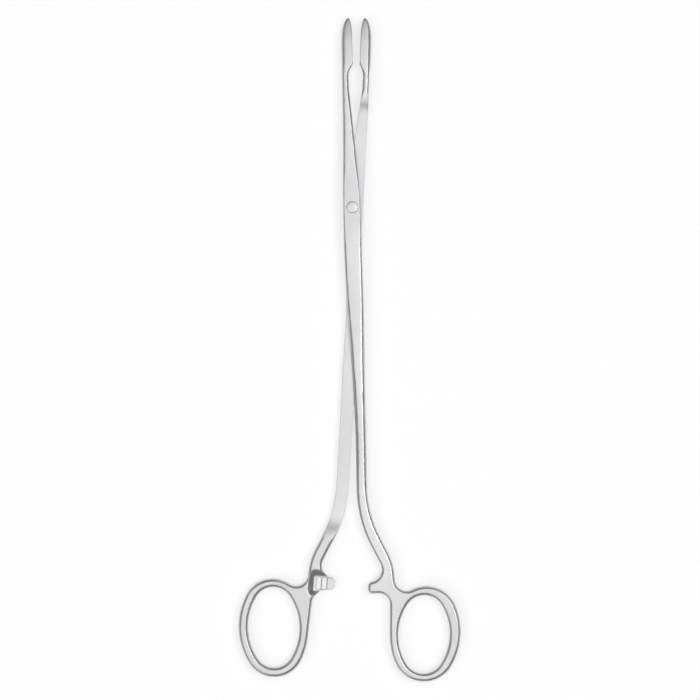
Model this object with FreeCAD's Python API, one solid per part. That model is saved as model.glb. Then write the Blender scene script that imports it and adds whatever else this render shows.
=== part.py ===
"""Long straight dressing forceps with ring handles, lying flat on its back.

Two forged halves cross at a lap joint and turn on one pivot screw. Above the joint each half ends in a
cross-serrated jaw. Below it each half runs down as a slim shank, bends outward and ends in an oval finger
ring, with a short three-tooth ratchet arm on its inner side. From fork to bend each half is only half as
thick, with a flat inner face, so that the closed shanks stack into one slender stem.

Frame: millimetres, origin on the pivot axis at the ground flat that the forceps lies on, +Y towards the
jaws, +X to the right seen from the front, +Z up out of the front. The model stands slightly open.

Each half is drawn with its lap face down on z = 0, its jaw on the left and its ring on the right. The
front half is lifted straight into place. The rear half is turned over about the long axis first.
"""

import FreeCAD
import Part
import math
import os

Vector = FreeCAD.Vector

# Lengths along the long axis, each from the end of the last: upwards and downwards from the pivot
crotch_reach = 18.3
fork_length = 13.7
neck_length = 15.0
throat_length = 4.9
heel_slope = 4.6
grip_length = 17.6
broad_length = 14.0
taper_length = 22.0
slim_length = 25.5
shank_length = 28.0
straight_length = 19.8

# Places that follow from them
fork_reach = crotch_reach + fork_length
neck_reach = fork_reach + neck_length
throat_reach = neck_reach + throat_length
heel_reach = throat_reach + heel_slope
tip_reach = heel_reach + grip_length
taper_reach = broad_length + taper_length
slim_reach = taper_reach + slim_length
shank_reach = slim_reach + shank_length
bend_reach = shank_reach + straight_length

# Widths seen from the front
jaw_width = 4.45
neck_width = 2.55
fork_width = 3.95
crotch_width = 5.4
joint_width = 7.0
taper_width = 6.55
slim_width = 5.1
handle_width = 4.8

# Thickness of a whole section, both laps together
tip_thickness = 2.7
jaw_thickness = 4.5
joint_thickness = 6.0
joint_crown = 0.2
shank_thickness = 4.8
handle_thickness = 4.2

# Rounding of the long edges, never more than this share of the section
round_limit = 0.48
jaw_back_radius = 1.7
jaw_grip_radius = 0.5
neck_radius = 1.05
joint_radius = 1.15
shank_radius = 1.6

# Jaw tips and grip faces. The stations are insets from the tip, dense where it is blunt
tip_stations = (0.04, 0.2, 0.6, 1.3, 2.4, 4.2)
jaw_start = 6.6
jaw_steps = 8
tip_blunt = 0.25
tip_back_length = 9.6
tip_grip_length = 11.0
tip_inset = 1.45
grip_offset = 1.16
grip_stock = 0.12
heel_corner = 0.8
grip_clearance = 0.05
close_angle = 2.75
front_lean = 1.0
serration_pitch = 1.0
serration_depth = 0.3
serration_land = 0.25
serration_margin = 0.8

# Lap joint
lap_clearance = 0.05
lap_plane = lap_clearance / 2
lap_above_fork = 2.0
lap_below_bend = 9.2
fork_runout_radius = 16.0
bend_runout_radius = 20.0
runout_margin = 0.06

# Pivot screw
head_diameter = 4.4
head_depth = 1.3
head_dome = 0.2
neck_diameter = 3.0
thread_diameter = 2.6
tail_recess = 0.15
head_clearance = 0.04
neck_clearance = 0.03
seat_clearance = 0.03

# Bend and handle
bend_radius = 48.0
bend_angle = 27.4
handle_straight = 3.0
knee_radius = 23.0
knee_angle = 5.0
hole_half_width = 10.0
oval_fullness = 1.2
handle_edge_radius = 1.5
arm_top_radius = 4.8

# Ratchet arm
arm_height = 4.7
arm_tip_radius = 1.65
tooth_count = 3
tooth_pitch = 2.15
tooth_height = 0.6
tooth_lead = 3.0
tooth_share = 0.4
tooth_undercut = 0.15
pad_land = 0.2
pad_radius = 2.0

# Working sizes: how finely the bar is drawn, how far cutting tools reach, and what counts as touching
stem_steps = 17
bend_steps = 4
slope_step = 1.0
tool_span = 100.0
contact_steps = 40
same_place = 1e-6
sewing_gap = 1e-3


class Half:
    """What differs between the two forgings. Rings and arms are placed from the end of the shank."""

    def __init__(self, grip_side, lean, centres, shank_width, knee_start, notch_radius, hole_out, hole_down,
                 hole_half_height, hole_tilt, side_band, end_band, ring_shift, ring_tilt, wall_lean,
                 arm_down, arm_tip, elbow_radius):
        self.grip_side = grip_side
        self.lean = math.radians(lean)
        self.centres = centres
        self.shank_width = shank_width
        self.knee_start = knee_start
        self.notch_radius = notch_radius
        self.hole_out = hole_out
        self.hole_down = hole_down
        self.hole_half_height = hole_half_height
        self.hole_tilt = hole_tilt
        self.side_band = side_band
        self.end_band = end_band
        self.ring_shift = ring_shift
        self.ring_tilt = ring_tilt
        self.wall_lean = math.radians(wall_lean)
        self.arm_down = arm_down
        self.arm_tip = arm_tip
        self.elbow_radius = elbow_radius

    def edge_radius(self):
        """The rounding of the handle's edges, limited by the thinnest wall of the ring."""
        wall = min(self.side_band, self.end_band) - self.ring_shift.Length
        return min(handle_edge_radius, round_limit * wall, round_limit * handle_thickness)

    def arm_level(self, end):
        """The arm's middle height, from the end of the shank."""
        return end.y - self.arm_down


# Centres run from the neck to the bend, one for each station of the bar
front = Half(
    grip_side=1,
    lean=front_lean,
    centres=(-2.69, -1.70, -0.93, -0.10, 0.20, 1.14, 2.32, 3.36, 3.70),
    shank_width=4.12,
    knee_start=3.0,
    notch_radius=4.6,
    hole_out=17.55,
    hole_down=33.59,
    hole_half_height=15.26,
    hole_tilt=1.4,
    side_band=3.86,
    end_band=3.43,
    ring_shift=Vector(0.48, 0.17, 0),
    ring_tilt=3.9,
    wall_lean=0.0,
    arm_down=15.3,
    arm_tip=6.1,
    elbow_radius=4.0,
)
rear = Half(
    grip_side=-1,
    lean=close_angle - front_lean,
    centres=(-5.27, -3.80, -2.37, -0.66, -0.30, -0.95, 1.05, 2.62, 3.85),
    shank_width=4.75,
    knee_start=4.5,
    notch_radius=4.8,
    hole_out=20.20,
    hole_down=33.02,
    hole_half_height=15.70,
    hole_tilt=1.0,
    side_band=3.65,
    end_band=3.55,
    ring_shift=Vector(0.08, -0.20, 0),
    ring_tilt=3.0,
    wall_lean=6.5,
    arm_down=15.93,
    arm_tip=6.84,
    elbow_radius=6.0,
)


def smooth_law(places, values):
    """A smooth curve through (place, value) pairs that never overshoots them (monotone cubic pieces)."""
    pairs = sorted(zip(places, values))
    places = [pair[0] for pair in pairs]
    values = [pair[1] for pair in pairs]
    spans = len(pairs) - 1
    rise = [(values[i + 1] - values[i]) / (places[i + 1] - places[i]) for i in range(spans)]
    slope = [rise[0]] + [0.0] * (spans - 1) + [rise[-1]]
    for i in range(1, spans):
        if rise[i - 1] * rise[i] > 0:
            slope[i] = 2 * rise[i - 1] * rise[i] / (rise[i - 1] + rise[i])

    def law(place):
        place = min(max(place, places[0]), places[-1])
        i = max(k for k in range(spans) if places[k] <= place)
        span = places[i + 1] - places[i]
        t = (place - places[i]) / span
        start = (1 + 2 * t) * (1 - t) ** 2 * values[i] + t * (1 - t) ** 2 * span * slope[i]
        end = t * t * (3 - 2 * t) * values[i + 1] + t * t * (t - 1) * span * slope[i + 1]
        return start + end

    return law


def heading(angle):
    """The level direction that points down the bar and leans to the right by the angle."""
    return Vector(math.sin(angle), -math.cos(angle), 0)


def beside(angle):
    """The level direction square to the heading, on its right-hand side seen from the front."""
    return Vector(math.cos(angle), math.sin(angle), 0)


def arc(start, middle, end):
    return Part.Arc(start, middle, end).toShape()


def section(centre, angle, left, right, thickness, left_radius, right_radius):
    """A rounded rectangle across the bar, reaching left and right of its centre."""
    top = thickness / 2
    limit = round_limit * min(left + right, thickness)
    across = beside(angle)

    def at(u, z):
        return centre + across * u + Vector(0, 0, z)

    corners = (
        (right, top, -1, -1, min(right_radius, limit)),
        (right, -top, -1, 1, min(right_radius, limit)),
        (-left, -top, 1, 1, min(left_radius, limit)),
        (-left, top, 1, -1, min(left_radius, limit)),
    )
    edges = []
    ends = []
    for index, (u, z, inward, upward, radius) in enumerate(corners):
        middle = (u + inward * radius, z + upward * radius)
        sidewise = (u, z + upward * radius)
        endwise = (u + inward * radius, z)
        half = radius * math.sqrt(0.5)
        peak = (middle[0] - inward * half, middle[1] - upward * half)
        first, last = (endwise, sidewise) if index % 2 == 0 else (sidewise, endwise)
        edges.append(arc(at(*first), at(*peak), at(*last)))
        ends.append((first, last))
    wire = []
    for index in range(4):
        wire.append(edges[index])
        wire.append(Part.makeLine(at(*ends[index][1]), at(*ends[(index + 1) % 4][0])))
    return Part.Wire(wire)


def bar_sections(half):
    """Sections of one half from the tip of its jaw, through the joint, to the end of the bend."""
    places = (neck_reach, fork_reach, crotch_reach, 0.0, -broad_length, -taper_reach,
              -slim_reach, -shank_reach, -bend_reach)
    widths = (neck_width, fork_width, crotch_width, joint_width, joint_width, taper_width,
              slim_width, half.shank_width, half.shank_width)
    centre_law = smooth_law(places, half.centres)
    width_law = smooth_law(places, widths)
    thickness_law = smooth_law(
        (tip_reach, heel_reach, neck_reach, broad_length, 0.0, -broad_length, -slim_reach, -bend_reach),
        (tip_thickness, jaw_thickness, jaw_thickness, joint_thickness, joint_thickness + 2 * joint_crown,
         joint_thickness, shank_thickness, shank_thickness))
    left_radius_law = smooth_law(
        (heel_reach, throat_reach, crotch_reach, -broad_length, -slim_reach),
        (jaw_back_radius, neck_radius, joint_radius, joint_radius, shank_radius))
    right_radius_law = smooth_law(
        (heel_reach, throat_reach, crotch_reach, -broad_length, -slim_reach),
        (jaw_grip_radius, neck_radius, joint_radius, joint_radius, shank_radius))

    def grip_line(y):
        return half.grip_side * grip_offset - y * math.tan(half.lean)

    neck_centre = half.centres[0]
    neck_lean = math.tan(half.lean)
    edge_radius = half.edge_radius()
    sections = []

    fullness_law = smooth_law((neck_reach, throat_reach, heel_reach + heel_corner, tip_reach),
                              (0.0, 0.0, 1.0, 1.0))

    def jaw_section(y):
        fullness = fullness_law(y)
        drift = (neck_reach - y) * neck_lean
        neck_left = neck_centre + drift - neck_width / 2
        neck_right = neck_centre + drift + neck_width / 2
        jaw_right = grip_line(y) + grip_stock
        jaw_left = jaw_right - jaw_width
        left = neck_left + (jaw_left - neck_left) * fullness
        right = neck_right + (jaw_right - neck_right) * fullness
        apex = jaw_right - tip_inset
        back_share = tip_share(tip_reach - y, tip_back_length)
        grip_share = tip_share(tip_reach - y, tip_grip_length)
        left = apex + (left - apex) * back_share
        right = apex + (right - apex) * grip_share
        thickness = tip_thickness + (thickness_law(y) - tip_thickness) * back_share
        thickness = thickness * (tip_blunt + (1 - tip_blunt) * back_share)
        middle = (left + right) / 2
        reach = (right - left) / 2
        sections.append(section(Vector(middle, y, 0), 0.0, reach, reach, thickness,
                                left_radius_law(y), right_radius_law(y)))

    for inset in tip_stations:
        jaw_section(tip_reach - inset)
    for step in range(jaw_steps):
        jaw_section(tip_reach - jaw_start - step * (tip_reach - jaw_start - neck_reach) / jaw_steps)
    jaw_count = len(sections)
    for step in range(stem_steps):
        y = neck_reach - step * (neck_reach + bend_reach) / stem_steps
        width = width_law(y)
        sections.append(section(Vector(centre_law(y), y, 0), 0.0, width / 2, width / 2,
                                thickness_law(y), left_radius_law(y), right_radius_law(y)))
    drift = centre_law(-bend_reach) - centre_law(slope_step - bend_reach)
    start_angle = math.atan(drift / slope_step)
    end_angle = math.radians(bend_angle)
    start = Vector(half.centres[-1], -bend_reach, 0)
    hub = start + beside(start_angle) * bend_radius
    for step in range(bend_steps + 1):
        share = step / bend_steps
        angle = start_angle + (end_angle - start_angle) * share
        easing = share * share * (3 - 2 * share)
        width = half.shank_width + (handle_width - half.shank_width) * easing
        thickness = shank_thickness + (handle_thickness - shank_thickness) * easing
        centre = hub - beside(angle) * bend_radius
        sections.append(section(centre, angle, width / 2, width / 2, thickness, edge_radius, edge_radius))
    end = centre + heading(end_angle) * handle_straight
    sections.append(section(end, end_angle, handle_width / 2, handle_width / 2, handle_thickness,
                            edge_radius, edge_radius))
    return sections[:jaw_count + 1], sections[jaw_count:], end


def tip_share(inset, length):
    """How full a bullet tip is at an inset from its end, as a quarter ellipse of the given length."""
    left = 1.0 - min(inset / length, 1.0)
    return math.sqrt(1.0 - left * left)


class Oval:
    """A four-centred oval that stands in for an ellipse: two end arcs, two side arcs, all tangent."""

    def __init__(self, centre, half_width, half_height, tilt):
        tilt = math.radians(tilt)
        axis = Vector(math.sin(tilt), math.cos(tilt), 0)
        side = Vector(math.cos(tilt), -math.sin(tilt), 0)
        end_radius = oval_fullness * half_width ** 2 / half_height
        slack = half_height ** 2 + half_width ** 2 - 2 * half_height * end_radius
        side_radius = slack / (2 * (half_width - end_radius))
        self.side_radius = side_radius
        self.top_hub = centre + axis * (half_height - end_radius)
        self.left_hub = centre + side * (side_radius - half_width)
        bottom_hub = centre - axis * (half_height - end_radius)
        right_hub = centre - side * (side_radius - half_width)
        self.top_circle = Part.Circle(self.top_hub, Vector(0, 0, 1), end_radius)
        self.top_right = self.beyond(right_hub, self.top_hub, side_radius)
        self.bottom_right = self.beyond(right_hub, bottom_hub, side_radius)
        self.bottom_left = self.beyond(self.left_hub, bottom_hub, side_radius)
        self.top_left = self.beyond(self.left_hub, self.top_hub, side_radius)
        self.right_arc = arc(self.top_right, right_hub + side * side_radius, self.bottom_right)
        self.bottom_arc = arc(self.bottom_right, bottom_hub - axis * end_radius, self.bottom_left)
        self.top_arc = arc(self.top_left, self.top_hub + axis * end_radius, self.top_right)
        self.left_arc = arc(self.bottom_left, self.left_hub - side * side_radius, self.top_left)

    def beyond(self, hub, through, radius):
        way = through - hub
        way.normalize()
        return hub + way * radius

    def loop(self):
        return Part.Wire([self.top_arc, self.right_arc, self.bottom_arc, self.left_arc])


def between(hub, first, second):
    """The arc about a hub between two points, on the shorter way round."""
    middle = (first + second) * 0.5 - hub
    middle.normalize()
    return arc(first, hub + middle * (first - hub).Length, second)


def touching_arc(radius, first, second, guess):
    """The arc of a radius that touches two curves near a guessed centre, with its two end points."""
    centre = guess
    for _ in range(contact_steps):
        one = first.value(first.parameter(centre))
        two = second.value(second.parameter(centre))
        away_one = centre - one
        away_two = centre - two
        miss_one = radius - away_one.Length
        miss_two = radius - away_two.Length
        away_one.normalize()
        away_two.normalize()
        cross = away_one.x * away_two.y - away_one.y * away_two.x
        move_x = (miss_one * away_two.y - miss_two * away_one.y) / cross
        move_y = (away_one.x * miss_two - away_two.x * miss_one) / cross
        centre = centre + Vector(move_x, move_y, 0)
    return between(centre, one, two), one, two


def handle(half, start):
    """Ring, ratchet arm and the end of the shank, as one flat plate with well rounded edges."""
    angle = math.radians(bend_angle)
    side = beside(angle) * (handle_width / 2)
    outer = start + side
    inner = start - side
    knee = outer + heading(angle) * half.knee_start
    knee_hub = knee - beside(angle) * knee_radius
    knee_end_angle = math.radians(knee_angle)
    knee_end = knee_hub + beside(knee_end_angle) * knee_radius

    hole_centre = start + Vector(half.hole_out, -half.hole_down, 0)
    hole = Oval(hole_centre, hole_half_width, half.hole_half_height, half.hole_tilt)
    ring = Oval(hole_centre + half.ring_shift, hole_half_width + half.side_band,
                half.hole_half_height + half.end_band, half.ring_tilt)
    wall_side = Vector(-math.cos(half.wall_lean), -math.sin(half.wall_lean), 0)
    wall_foot = ring.left_hub + wall_side * ring.side_radius

    arm_top = half.arm_level(start) + arm_height / 2
    arm_bottom = half.arm_level(start) - arm_height / 2
    level = Vector(1, 0, 0)
    outer_line = Part.Line(knee_end, knee_end + heading(knee_end_angle))
    inner_line = Part.Line(inner, inner + heading(angle))
    wall_line = Part.Line(wall_foot, wall_foot + wall_side.cross(Vector(0, 0, 1)))
    bottom_line = Part.Line(Vector(0, arm_bottom, 0), Vector(0, arm_bottom, 0) + level)

    notch_guess = Vector(knee_end.x + half.notch_radius, arm_top + half.notch_radius, 0)
    notch, notch_top, notch_foot = touching_arc(half.notch_radius, outer_line, ring.top_circle, notch_guess)
    elbow_guess = Vector(wall_foot.x - half.elbow_radius, arm_bottom - half.elbow_radius, 0)
    elbow, elbow_foot, elbow_top = touching_arc(half.elbow_radius, wall_line, bottom_line, elbow_guess)
    tip = half.arm_tip
    low_hub = Vector(tip + arm_tip_radius, arm_bottom + arm_tip_radius, 0)
    low_start = Vector(tip + arm_tip_radius, arm_bottom, 0)
    low_end = Vector(tip, arm_bottom + arm_tip_radius, 0)
    tip_hub = Vector(tip + arm_tip_radius, arm_top - arm_tip_radius, 0)
    tip_round = Part.Circle(tip_hub, Vector(0, 0, 1), arm_tip_radius)
    armpit_guess = Vector(tip_hub.x, arm_top + arm_top_radius, 0)
    armpit, armpit_foot, armpit_top = touching_arc(arm_top_radius, tip_round, inner_line, armpit_guess)
    high_start = Vector(tip, arm_top - arm_tip_radius, 0)
    outline = Part.Wire(Part.__sortEdges__([
        Part.makeLine(outer, knee),
        between(knee_hub, knee, knee_end),
        Part.makeLine(knee_end, notch_top),
        notch,
        between(ring.top_hub, notch_foot, ring.top_right),
        ring.right_arc,
        ring.bottom_arc,
        between(ring.left_hub, ring.bottom_left, wall_foot),
        Part.makeLine(wall_foot, elbow_foot),
        elbow,
        Part.makeLine(elbow_top, low_start),
        between(low_hub, low_start, low_end),
        Part.makeLine(low_end, high_start),
        between(tip_hub, high_start, armpit_foot),
        armpit,
        Part.makeLine(armpit_top, inner),
        Part.makeLine(inner, outer),
    ]))
    face = Part.Face(outline).cut(Part.Face(hole.loop()))
    plate = face.extrude(Vector(0, 0, handle_thickness))
    plate.translate(Vector(0, 0, -handle_thickness / 2))
    plate = plate.Solids[0]
    rims = []
    for edge in plate.Edges:
        heights = [vertex.Z for vertex in edge.Vertexes]
        level_edge = max(heights) - min(heights) < same_place
        middle = edge.valueAt((edge.FirstParameter + edge.LastParameter) / 2)
        on_joint = abs((middle - start).dot(heading(angle))) < same_place
        if level_edge and not on_joint:
            rims.append(edge)
    return plate.makeFillet(half.edge_radius(), rims)


def prism(points, push):
    """A straight-sided solid from the corner points of one flat face and a push."""
    return Part.Face(Part.makePolygon(points + [points[0]])).extrude(push)


def grip_cut(half):
    """Everything beyond the grip face, with the cross serrations standing out of it."""
    origin = Vector(half.grip_side * grip_offset, 0, 0)
    up = Vector(-math.sin(half.lean), math.cos(half.lean), 0)
    out = Vector(math.cos(half.lean), math.sin(half.lean), 0)
    deep = Vector(0, 0, jaw_thickness)
    drop = Vector(0, 0, -jaw_thickness / 2)

    def at(reach, offset):
        return origin + up * reach + out * (offset - grip_clearance / 2) + drop

    past = tip_reach + jaw_width
    tool = prism([at(throat_reach, 0), at(past, 0), at(past, jaw_width), at(throat_reach, jaw_width)], deep)
    count = int((grip_length - 2 * serration_margin) / serration_pitch)
    opening = (serration_pitch - serration_land) / 2
    first = heel_reach + (grip_length - (count - 1) * serration_pitch) / 2
    for index in range(count):
        reach = first + index * serration_pitch
        groove = prism([at(reach - opening, 0), at(reach, -serration_depth), at(reach + opening, 0),
                        at(reach, serration_depth)], deep)
        tool = tool.fuse(groove)
    return tool


def runout(place, edge, level, way, radius, skin):
    """A smooth S of two arcs that leads a cut at a level out through the skin below it.

    It gives the S's two end points and its arcs. The place function turns a reach and a height into a point.
    """
    turn = math.acos(1 - (level + skin + runout_margin) / (2 * radius))
    hollow = place(edge, level - radius)
    middle = place(edge + way * radius * math.sin(turn), level - radius + radius * math.cos(turn))
    ridge = middle + (middle - hollow)
    start = place(edge, level)
    finish = ridge - Vector(0, 0, radius)
    return start, finish, [between(hollow, start, middle), between(ridge, middle, finish)]


def lap_cut():
    """The other half's space below the lap plane."""

    def lengthwise(y, z):
        return Vector(-tool_span / 2, y, z)

    low_start, low_finish, low_arcs = runout(lengthwise, -bend_reach - lap_below_bend, lap_plane, -1,
                                             bend_runout_radius, handle_thickness / 2)
    high_start, high_finish, high_arcs = runout(lengthwise, fork_reach + lap_above_fork, lap_plane, 1,
                                                fork_runout_radius, jaw_thickness / 2)
    drop = Vector(0, 0, -joint_thickness)
    face = Part.Face(Part.Wire(Part.__sortEdges__([
        Part.makeLine(low_start, high_start),
        *high_arcs,
        Part.makeLine(high_finish, high_finish + drop),
        Part.makeLine(high_finish + drop, low_finish + drop),
        Part.makeLine(low_finish + drop, low_finish),
        *low_arcs,
    ])))
    return face.extrude(Vector(tool_span, 0, 0))


def ratchet_cut(half, end):
    """What is taken off under a ratchet arm to leave its sawteeth, square to the line to the pivot.

    The teeth fill the arm's height. Around them the recess rises smoothly, with its two corners rounded.
    """
    skin = handle_thickness / 2
    crest = -tooth_height * tooth_share
    root = tooth_height + crest
    land = tooth_lead + (tooth_count - 1) * tooth_pitch + pad_land
    drop = Vector(0, 0, -joint_thickness)

    def rim(place):
        """The recess's rise, seen from the side."""
        start, finish, arcs = runout(place, 0, root, 1, pad_radius, skin)
        foot = Vector(start.x, start.y, finish.z) + drop
        return Part.Face(Part.Wire(Part.__sortEdges__([
            *arcs,
            Part.makeLine(finish, finish + drop),
            Part.makeLine(finish + drop, foot),
            Part.makeLine(foot, start),
        ])))

    def crosswise(x, z):
        return Vector(x, 0, z)

    start, finish, arcs = runout(crosswise, land, root, 1, pad_radius, skin)
    open_end = crosswise(-tooth_lead, root - tooth_height / 2)
    corners = [finish, finish + drop, open_end + drop, open_end]
    for index in range(tooth_count):
        line = tooth_lead + index * tooth_pitch
        corners.append(crosswise(line, crest))
        corners.append(crosswise(line - tooth_undercut, root))
    corners.append(start)
    edges = [Part.makeLine(first, second) for first, second in zip(corners, corners[1:])]
    teeth = Part.Face(Part.Wire(edges + arcs)).extrude(Vector(0, arm_height, 0))
    teeth.translate(Vector(0, -arm_height / 2, 0))
    rims = []
    for way in (1, -1):
        strip = rim(lambda y, z: Vector(-tooth_lead, way * y, z)).extrude(Vector(tooth_lead + land, 0, 0))
        strip.translate(Vector(0, way * arm_height / 2, 0))
        corner = rim(crosswise).revolve(Vector(0, 0, 0), Vector(0, 0, way), 90)
        corner.translate(Vector(land, way * arm_height / 2, 0))
        rims += [strip, corner]
    tool = teeth.multiFuse(rims)
    level = half.arm_level(end)
    tool.translate(Vector(half.arm_tip, level, 0))
    middle = half.arm_tip + tooth_lead + tooth_pitch
    spin = math.degrees(math.atan2(middle, -level))
    tool.rotate(Vector(middle, level, 0), Vector(0, 0, 1), spin)
    return tool


def joined(first, second, seam):
    """Two solids made one across the flat end face that both have at the seam."""
    faces = []
    for solid in (first, second):
        inside = min(solid.Faces, key=lambda face: (face.CenterOfMass - seam).Length)
        faces += [face for face in solid.Faces if not face.isSame(inside)]
    skin = Part.makeCompound(faces)
    skin.sewShape(sewing_gap)
    return Part.Solid(skin.Shells[0])


def without(solid, tool):
    """A solid less a cutting tool, which must leave it in one piece."""
    left = solid.cut(tool)
    if len(left.Solids) != 1:
        raise ValueError("a cut left " + str(len(left.Solids)) + " solids")
    return left.Solids[0]


def forging(half):
    """One half as forged and ground, before the screw holes."""
    jaw_sections, stem_sections, end = bar_sections(half)
    jaw = without(Part.makeLoft(jaw_sections, True, False), grip_cut(half))
    stem = Part.makeLoft(stem_sections, True, False)
    body = joined(stem, handle(half, end), end)
    body = without(body, lap_cut())
    body = without(body, ratchet_cut(half, end))
    slab = Part.makeBox(tool_span, 2 * fork_reach, joint_thickness,
                        Vector(-tool_span / 2, -fork_reach, joint_thickness / 2))
    body = without(body, slab)
    return joined(jaw, body, Vector(half.centres[0], neck_reach, 0))


def cylinder(diameter, low, high):
    return Part.makeCylinder(diameter / 2, high - low, Vector(0, 0, low))


def front_half():
    lap = joint_thickness / 2
    body = forging(front)
    body.translate(Vector(0, 0, lap))
    seat = joint_thickness - head_depth
    body = without(body, cylinder(head_diameter + 2 * head_clearance, seat, 2 * joint_thickness))
    return without(body, cylinder(neck_diameter + 2 * neck_clearance, 0, joint_thickness))


def rear_half():
    lap = joint_thickness / 2
    body = forging(rear)
    body.rotate(Vector(0, 0, 0), Vector(0, 1, 0), 180)
    body.translate(Vector(0, 0, lap))
    return without(body, cylinder(thread_diameter, -joint_thickness, joint_thickness))


def pivot_screw():
    """A plain headed screw: its neck lets the front half turn and its thread is fast in the rear half."""
    shoulder = joint_thickness / 2 - lap_plane
    seat = joint_thickness - head_depth + seat_clearance
    top = joint_thickness
    radius = head_diameter / 2
    dome_radius = (radius ** 2 + head_dome ** 2) / (2 * head_dome)
    dome = between(Vector(0, 0, top + head_dome - dome_radius), Vector(radius, 0, top),
                   Vector(0, 0, top + head_dome))
    outline = Part.Wire([
        Part.makeLine(Vector(0, 0, tail_recess), Vector(thread_diameter / 2, 0, tail_recess)),
        Part.makeLine(Vector(thread_diameter / 2, 0, tail_recess), Vector(thread_diameter / 2, 0, shoulder)),
        Part.makeLine(Vector(thread_diameter / 2, 0, shoulder), Vector(neck_diameter / 2, 0, shoulder)),
        Part.makeLine(Vector(neck_diameter / 2, 0, shoulder), Vector(neck_diameter / 2, 0, seat)),
        Part.makeLine(Vector(neck_diameter / 2, 0, seat), Vector(radius, 0, seat)),
        Part.makeLine(Vector(radius, 0, seat), Vector(radius, 0, top)),
        dome,
        Part.makeLine(Vector(0, 0, top + head_dome), Vector(0, 0, tail_recess)),
    ])
    return Part.Face(outline).revolve(Vector(0, 0, 0), Vector(0, 0, 1), 360).Solids[0]


pieces = {
    "front_half": front_half(),
    "rear_half": rear_half(),
    "pivot_screw": pivot_screw(),
}
os.makedirs("parts", exist_ok=True)
for name, shape in pieces.items():
    shape.exportStep("parts/" + name + ".step")
    print(name, "valid", shape.isValid(), "solids", len(shape.Solids), "faces", len(shape.Faces),
          "volume", round(shape.Volume, 1))
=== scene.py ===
"""Dressing forceps in satin stainless steel, lying on a pale table and seen from straight above.

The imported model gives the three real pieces: two forged halves and the pivot screw. Their shapes stay as
they are. This script gives them their finish, smooth shading, the table, the light and the camera.
"""

import bpy
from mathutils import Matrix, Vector


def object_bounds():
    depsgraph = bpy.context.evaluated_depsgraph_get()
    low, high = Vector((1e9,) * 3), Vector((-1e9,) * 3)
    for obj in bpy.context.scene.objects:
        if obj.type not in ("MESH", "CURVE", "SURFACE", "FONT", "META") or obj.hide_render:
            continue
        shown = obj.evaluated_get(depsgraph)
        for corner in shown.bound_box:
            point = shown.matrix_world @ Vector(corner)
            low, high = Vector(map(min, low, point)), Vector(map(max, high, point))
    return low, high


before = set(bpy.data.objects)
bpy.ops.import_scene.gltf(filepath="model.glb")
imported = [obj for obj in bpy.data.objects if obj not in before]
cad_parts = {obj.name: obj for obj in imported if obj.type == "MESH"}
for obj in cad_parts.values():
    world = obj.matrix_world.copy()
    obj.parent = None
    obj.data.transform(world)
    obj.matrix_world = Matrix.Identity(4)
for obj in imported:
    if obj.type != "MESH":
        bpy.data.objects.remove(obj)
cad_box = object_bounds()


# Camera: it stands where the drawing's eye is, straight above the forceps, with the jaws at the top. A
# long lens keeps the outline as flat as the drawing's.
picture_width = 0.2737
picture_centre = Vector((-0.0009, -0.0557, 0.003))
camera_height = 1.141
sensor_width = 36.0

lens = bpy.data.cameras.new("eye")
lens.sensor_width = sensor_width
lens.lens = sensor_width * camera_height / picture_width
eye = bpy.data.objects.new("eye", lens)
bpy.context.collection.objects.link(eye)
eye.location = picture_centre + Vector((0, 0, camera_height))
bpy.context.scene.camera = eye
bpy.context.scene.view_settings.view_transform = "Standard"


# Forged halves: each is one drop forging in hardened stainless steel, from jaw tip to finger ring. It is
# ground, then brushed along its length to a satin finish, with a fine blasted grain under the brushing.
# Lengths are in metres, noise scales in waves per metre and angles in radians.
steel_colour = (0.60, 0.605, 0.615, 1.0)
worn_colour = (0.67, 0.675, 0.68, 1.0)
satin_roughness = 0.36
worn_polish = 0.06
brushed_spread = 0.08
brushing_across = 4200.0
brushing_along = 160.0
grain_scale = 5200.0
handling_across = 45.0
handling_along = 28.0
worn_from = 0.42
worn_to = 0.68
brushing_share = 0.6
relief_depth = 0.00002
relief_strength = 0.35
edge_break = 0.0003
edge_samples = 6
weld_distance = 1e-6
sharp_turn = 0.55


class Signal:
    """One value on its way through a material: an operator on it adds the Math node that works it out."""

    def __init__(self, finish, socket):
        self.finish = finish
        self.socket = socket

    def math(self, operation, *values):
        return self.finish.node("ShaderNodeMath", {"operation": operation}, dict(enumerate(values)))

    def __add__(self, other):
        return self.math("ADD", self, other)

    def __radd__(self, other):
        return self.math("ADD", other, self)

    def __sub__(self, other):
        return self.math("SUBTRACT", self, other)

    def __rsub__(self, other):
        return self.math("SUBTRACT", other, self)

    def __mul__(self, other):
        return self.math("MULTIPLY", self, other)

    def __rmul__(self, other):
        return self.math("MULTIPLY", other, self)

    def between(self, low, high):
        """How far the value is from low to high, eased at both ends and kept within 0 and 1."""
        settings = {"interpolation_type": "SMOOTHSTEP"}
        return self.finish.node("ShaderNodeMapRange", settings, {0: self, 1: low, 2: high, 3: 0.0, 4: 1.0})


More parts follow.
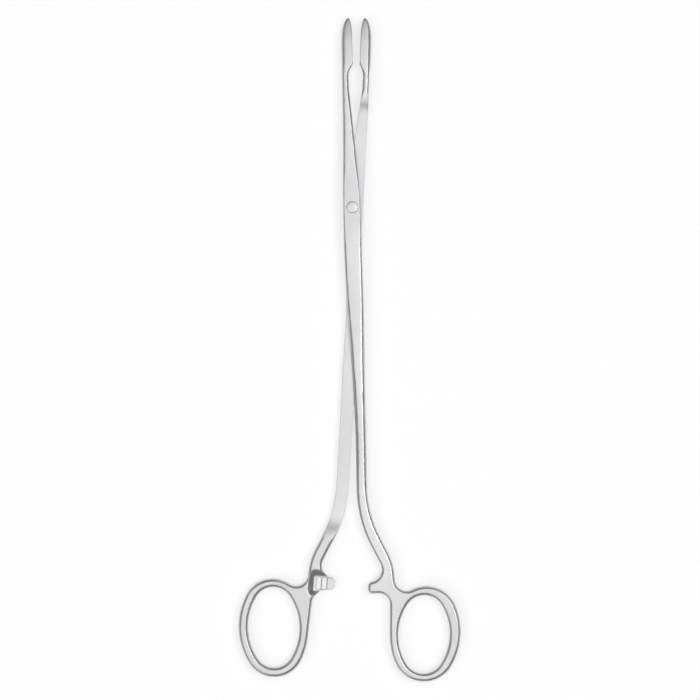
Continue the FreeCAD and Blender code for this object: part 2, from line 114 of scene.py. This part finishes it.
class Finish:
    """A material being put together: node() adds any node, feed() links or sets the shader's sockets."""

    def __init__(self, name):
        self.material = bpy.data.materials.new(name)
        self.material.use_nodes = True
        self.tree = self.material.node_tree
        self.shader = self.tree.nodes["Principled BSDF"]

    def node(self, kind, settings, values, output=0):
        made = self.tree.nodes.new(kind)
        for name, value in settings.items():
            setattr(made, name, value)
        for socket, value in values.items():
            if isinstance(value, Signal):
                self.tree.links.new(value.socket, made.inputs[socket])
            else:
                made.inputs[socket].default_value = value
        return Signal(self, made.outputs[output])

    def feed(self, **values):
        for name, value in values.items():
            socket = self.shader.inputs[name.replace("_", " ")]
            if isinstance(value, Signal):
                self.tree.links.new(value.socket, socket)
            else:
                socket.default_value = value

    def place(self):
        return self.node("ShaderNodeTexCoord", {}, {}, "Object")

    def stretched(self, across, along, through):
        """Object coordinates scaled per metre across, along and through the forceps."""
        return self.node("ShaderNodeMapping", {}, {"Vector": self.place(), "Scale": (across, along, through)})

    def noise(self, vector, detail, roughness):
        values = {"Vector": vector, "Scale": 1.0, "Detail": detail, "Roughness": roughness}
        return self.node("ShaderNodeTexNoise", {}, values)

    def blend(self, factor, first, second):
        """A colour between two, by a factor from 0 to 1."""
        return self.node("ShaderNodeMix", {"data_type": "RGBA"}, {0: factor, 6: first, 7: second}, 2)

    def relief(self, height, strength, depth):
        """The surface's tilt: a fine relief on top of edges that are broken by a small rounding."""
        rounded = self.node("ShaderNodeBevel", {"samples": edge_samples}, {"Radius": edge_break})
        values = {"Strength": strength, "Distance": depth, "Height": height, "Normal": rounded}
        return self.node("ShaderNodeBump", {}, values)


def smooth_faces():
    """A modifier group that merges the mesh's loose triangles and shades all but its true edges smooth."""
    group = bpy.data.node_groups.new("smooth_faces", "GeometryNodeTree")
    group.interface.new_socket("Geometry", in_out="INPUT", socket_type="NodeSocketGeometry")
    group.interface.new_socket("Geometry", in_out="OUTPUT", socket_type="NodeSocketGeometry")
    nodes = group.nodes
    links = group.links
    source = nodes.new("NodeGroupInput")
    merge = nodes.new("GeometryNodeMergeByDistance")
    merge.inputs["Distance"].default_value = weld_distance
    faces = nodes.new("GeometryNodeSetShadeSmooth")
    turn = nodes.new("GeometryNodeInputMeshEdgeAngle")
    limit = nodes.new("ShaderNodeMath")
    limit.operation = "GREATER_THAN"
    limit.inputs[1].default_value = sharp_turn
    edges = nodes.new("GeometryNodeSetShadeSmooth")
    edges.domain = "EDGE"
    edges.inputs["Shade Smooth"].default_value = False
    sink = nodes.new("NodeGroupOutput")
    links.new(source.outputs[0], merge.inputs["Geometry"])
    links.new(merge.outputs[0], faces.inputs["Geometry"])
    links.new(turn.outputs["Unsigned Angle"], limit.inputs[0])
    links.new(limit.outputs[0], edges.inputs["Selection"])
    links.new(faces.outputs[0], edges.inputs["Geometry"])
    links.new(edges.outputs[0], sink.inputs[0])
    return group


smoothing = smooth_faces()


def dress(node, finish):
    """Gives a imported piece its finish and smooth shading, and leaves its mesh alone."""
    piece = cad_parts[node]
    piece.data.materials.clear()
    piece.data.materials.append(finish.material)
    piece.modifiers.new("smooth_faces", "NODES").node_group = smoothing
    weighing = piece.modifiers.new("weighed_normals", "WEIGHTED_NORMAL")
    weighing.mode = "FACE_AREA"
    weighing.keep_sharp = True


satin = Finish("satin_steel")
brushing = satin.noise(satin.stretched(brushing_across, brushing_along, brushing_across), 3.0, 0.6)
grain = satin.noise(satin.stretched(grain_scale, grain_scale, grain_scale), 2.0, 0.5)
handling = satin.noise(satin.stretched(handling_across, handling_along, handling_across), 3.0, 0.55)
worn = handling.between(worn_from, worn_to)
surface_height = brushing * brushing_share + grain * (1.0 - brushing_share)
satin.feed(
    Base_Color=satin.blend(worn * 0.5 + brushing * 0.25, steel_colour, worn_colour),
    Metallic=1.0,
    Roughness=satin_roughness - worn_polish * worn + brushed_spread * (brushing - 0.5),
    Normal=satin.relief(surface_height, relief_strength, relief_depth),
)

for half in ("front_half", "rear_half"):
    dress(half, satin)


# Pivot screw: a plain low-domed head, turned on a lathe and sunk into the front half. The turning leaves
# faint rings round its centre, and its face is a little brighter than the forgings.
screw_colour = (0.62, 0.62, 0.62, 1.0)
turned_roughness = 0.26
turned_spread = 0.06
turning_scale = 900.0
turning_strength = 0.2
turning_depth = 0.00001

turned = Finish("turned_steel")
rings = turned.node(
    "ShaderNodeTexWave",
    {"wave_type": "RINGS", "rings_direction": "Z"},
    {"Vector": turned.place(), "Scale": turning_scale, "Distortion": 0.4, "Detail": 1.0},
    "Fac",
)
turned.feed(
    Base_Color=screw_colour,
    Metallic=1.0,
    Roughness=turned_roughness + turned_spread * rings,
    Normal=turned.relief(rings, turning_strength, turning_depth),
)
dress("pivot_screw", turned)


# Table: one plain matt white sheet. What the eye and the steel see of it is near white, and it keeps the
# soft shadow that the forceps throws on it.
table_size = 4.0
table_drop = 0.00005
table_colour = (0.86, 0.86, 0.86, 1.0)
table_roughness = 0.9
shadow_share = 0.85
table_glow = 3.3

paper = Finish("white_table")
paper.feed(Base_Color=table_colour, Roughness=table_roughness, Metallic=0.0)
seen = paper.node("ShaderNodeLightPath", {}, {}, "Is Camera Ray")
mirrored = paper.node("ShaderNodeLightPath", {}, {}, "Is Glossy Ray")
through = paper.node("ShaderNodeLightPath", {}, {}, "Is Transmission Ray")
watched = (seen + mirrored + through) * (1.0 - shadow_share)
glow = paper.node("ShaderNodeEmission", {}, {"Color": (1.0, 1.0, 1.0, 1.0), "Strength": table_glow})
lit = Signal(paper, paper.shader.outputs[0])
surface = paper.node("ShaderNodeMixShader", {}, {0: watched, 1: lit, 2: glow})
paper.tree.links.new(surface.socket, paper.tree.nodes["Material Output"].inputs["Surface"])

table_mesh = bpy.data.meshes.new("table")
reach = table_size / 2
low = cad_box[0][2] - table_drop
corners = [(-reach, -reach, low), (reach, -reach, low), (reach, reach, low), (-reach, reach, low)]
table_mesh.from_pydata(corners, [], [(0, 1, 2, 3)])
table = bpy.data.objects.new("table", table_mesh)
table.data.materials.append(paper.material)
bpy.context.collection.objects.link(table)


# Light: a dim room and a long soft box overhead, laid along the forceps. The flats and the run-outs mirror
# the box and go pale, and the rounded edges mirror the room and go dark, as the drawing's outlines are. A
# box on the right lights the ratchet teeth's slopes, and a weak one on the left the left flanks.
room_light = 0.2

room = bpy.data.worlds.new("room")
room.use_nodes = True
room.node_tree.nodes["Background"].inputs["Color"].default_value = (1.0, 1.0, 1.0, 1.0)
room.node_tree.nodes["Background"].inputs["Strength"].default_value = room_light
bpy.context.scene.world = room


def soft_box(name, place, width, length, power):
    """An area lamp that faces the middle of the forceps, with its length along it."""
    lamp = bpy.data.lights.new(name, "AREA")
    lamp.shape = "RECTANGLE"
    lamp.size = width
    lamp.size_y = length
    lamp.energy = power
    box = bpy.data.objects.new(name, lamp)
    box.location = place
    box.rotation_mode = "QUATERNION"
    box.rotation_quaternion = (picture_centre - Vector(place)).to_track_quat("-Z", "Y")
    bpy.context.collection.objects.link(box)


soft_box("overhead", (-0.15, -0.2, 1.7), width=1.5, length=4.2, power=21.0)
soft_box("right", (0.78, -0.1, 1.35), width=0.5, length=0.5, power=2.4)
soft_box("left", (-0.8, 0.35, 0.8), width=0.4, length=0.4, power=0.5)
